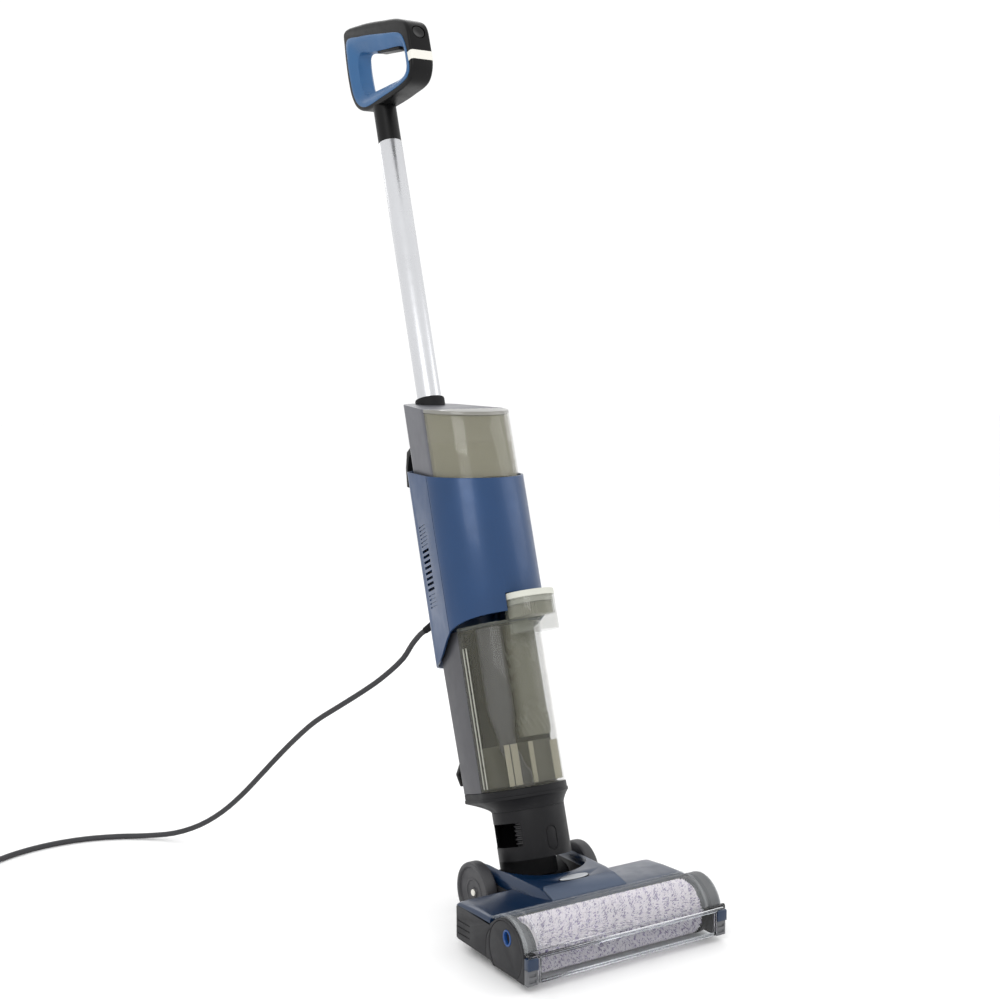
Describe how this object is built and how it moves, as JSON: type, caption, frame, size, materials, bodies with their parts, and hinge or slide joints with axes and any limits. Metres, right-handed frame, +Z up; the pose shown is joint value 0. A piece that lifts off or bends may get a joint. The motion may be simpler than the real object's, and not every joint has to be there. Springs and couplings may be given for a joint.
{
  "type": "wet dry floor scrubber",
  "caption": "Corded upright wet and dry floor scrubber with brush roll head, clear tanks and loop handle.",
  "frame": {"origin": "on the floor, under the centre of the machine without its cord", "axes": "+Z up, the floor head points along -Y, +X across the machine"},
  "size_m": [0.8037, 0.729, 1.0936],
  "materials": {
    "blue_shell": "satin",
    "navy_cover": "satin",
    "grip_blue": "matte",
    "dark_grey": "satin",
    "mid_grey": "satin",
    "black": "satin",
    "rubber": "matte",
    "white": "matte",
    "silver": "satin",
    "tube_alu": "satin",
    "motor_can": "satin",
    "steel": "satin",
    "smoke": "gloss",
    "clear": "gloss",
    "olive": "gloss",
    "pile": "matte",
    "foam": "matte",
    "board": "matte"
  },
  "bodies": {
    "yoke": {"swivel_yoke": "black", "left_pivot_pin": "steel", "right_pivot_pin": "steel", "cord": "rubber", "cord_coil": "rubber", "cord_tie": "black", "plug": "rubber"},
    "head": {"head_chassis": "dark_grey", "head_top_cover": "navy_cover", "blank_plate": "mid_grey", "release_spring": "steel", "left_cheek": "dark_grey", "right_cheek": "dark_grey", "left_corner_block": "navy_cover", "right_corner_block": "navy_cover", "squeegee": "rubber", "suction_throat": "black", "spray_bar": "mid_grey", "brush_motor": "steel", "drive_belt": "rubber"},
    "release_button": {"release_button": "silver"},
    "left_wheel": {"left_wheel": "rubber"},
    "right_wheel": {"right_wheel": "rubber"},
    "brush_cartridge": {"brush_end_cap": "dark_grey"},
    "brush_roll": {"brush_core": "black", "brush_pile": "pile"},
    "driven_pulley": {"driven_pulley": "black"},
    "motor_pulley": {"motor_pulley": "black"},
    "brush_cover": {"brush_cover": "clear"},
    "upright": {"neck_housing": "dark_grey", "neck_hose": "black", "tank_base": "dark_grey", "rear_casing": "dark_grey", "water_pump": "mid_grey", "front_shell": "blue_shell", "rear_shell": "blue_shell", "tank_deck": "dark_grey", "motor_mount": "mid_grey", "suction_motor": "motor_can", "control_board": "board", "lower_cord_hook": "black", "tube": "tube_alu", "tube_gasket": "rubber", "handle_shell": "black", "handle_grip": "grip_blue", "tank_column": "mid_grey", "cord_relief": "rubber"},
    "impeller": {"impeller": "silver"},
    "upper_cord_hook": {"upper_cord_hook": "black"},
    "dirty_tank": {"dirty_tank": "smoke", "inlet_pipe": "dark_grey", "dirty_tank_lid": "clear", "separator": "olive", "filter": "foam", "filter_frame": "white"},
    "float": {"float": "white"},
    "clean_tank": {"clean_tank": "smoke"},
    "clean_tank_lid": {"clean_tank_lid": "smoke"},
    "spray_trigger": {"spray_trigger": "black"},
    "power_button": {"power_button": "black"}
  },
  "joints": [
    {"name": "steer", "type": "hinge", "parent": "yoke", "child": "head", "pos_m": [0, -0.122, 0.02], "axis": [0, 0, 1], "range_deg": [-20, 20], "deforming": ["cord"]},
    {"name": "recline", "type": "hinge", "parent": "yoke", "child": "upright", "pos_m": [0, -0.122, 0.035], "axis": [-1, 0, 0], "range_deg": [-10, 45], "deforming": ["cord"]},
    {"name": "left_wheel_spin", "type": "hinge", "parent": "head", "child": "left_wheel", "pos_m": [-0.0715, -0.122, 0.035], "axis": [1, 0, 0], "continuous": true},
    {"name": "right_wheel_spin", "type": "hinge", "parent": "head", "child": "right_wheel", "pos_m": [0.0715, -0.122, 0.035], "axis": [1, 0, 0], "continuous": true},
    {"name": "cartridge_slide", "type": "slide", "parent": "head", "child": "brush_cartridge", "axis": [-1, 0, 0], "range_m": [0, 0.24]},
    {"name": "brush_spin", "type": "hinge", "parent": "brush_cartridge", "child": "brush_roll", "pos_m": [0, -0.278, 0.032], "axis": [1, 0, 0], "continuous": true},
    {"name": "driven_pulley_spin", "type": "hinge", "parent": "head", "child": "driven_pulley", "pos_m": [0.1155, -0.278, 0.032], "axis": [1, 0, 0], "continuous": true},
    {"name": "motor_pulley_spin", "type": "hinge", "parent": "head", "child": "motor_pulley", "pos_m": [0.1155, -0.213, 0.03], "axis": [1, 0, 0], "continuous": true},
    {"name": "brush_cover_lift", "type": "slide", "parent": "head", "child": "brush_cover", "axis": [0, 0, 1], "range_m": [0, 0.06]},
    {"name": "release_press", "type": "slide", "parent": "head", "child": "release_button", "axis": [0, 0, -1], "range_m": [0, 0.003], "stiffness_N_per_m": 600, "springref_m": -0.001, "deforming": ["release_spring"]},
    {"name": "impeller_spin", "type": "hinge", "parent": "upright", "child": "impeller", "pos_m": [0, -0.01909, 0.37162], "axis": [0, 0.2924, 0.9563], "continuous": true},
    {"name": "upper_hook_turn", "type": "hinge", "parent": "upright", "child": "upper_cord_hook", "pos_m": [0, 0.11326, 0.53088], "axis": [0, 0.9563, -0.2924], "range_deg": [0, 180]},
    {"name": "dirty_tank_pull", "type": "slide", "parent": "upright", "child": "dirty_tank", "axis": [0, -0.9563, 0.2924], "range_m": [0, 0.12]},
    {"name": "float_rise", "type": "slide", "parent": "dirty_tank", "child": "float", "axis": [0, 0.2924, 0.9563], "range_m": [0, 0.015]},
    {"name": "clean_tank_lift", "type": "slide", "parent": "upright", "child": "clean_tank", "axis": [0, 0.2924, 0.9563], "range_m": [0, 0.12]},
    {"name": "clean_lid_lift", "type": "slide", "parent": "clean_tank", "child": "clean_tank_lid", "axis": [0, 0.2924, 0.9563], "range_m": [0, 0.04]},
    {"name": "trigger_squeeze", "type": "slide", "parent": "upright", "child": "spray_trigger", "axis": [0, -0.0872, 0.9962], "range_m": [0, 0.004], "stiffness_N_per_m": 400, "springref_m": -0.002},
    {"name": "power_press", "type": "slide", "parent": "upright", "child": "power_button", "axis": [0, 0.891, -0.454], "range_m": [0, 0.002], "stiffness_N_per_m": 600, "springref_m": -0.001}
  ],
  "couplings": [
    {"joint": "driven_pulley_spin", "follows": "brush_spin", "ratio": 1},
    {"joint": "motor_pulley_spin", "follows": "brush_spin", "ratio": 2.1667}
  ]
}
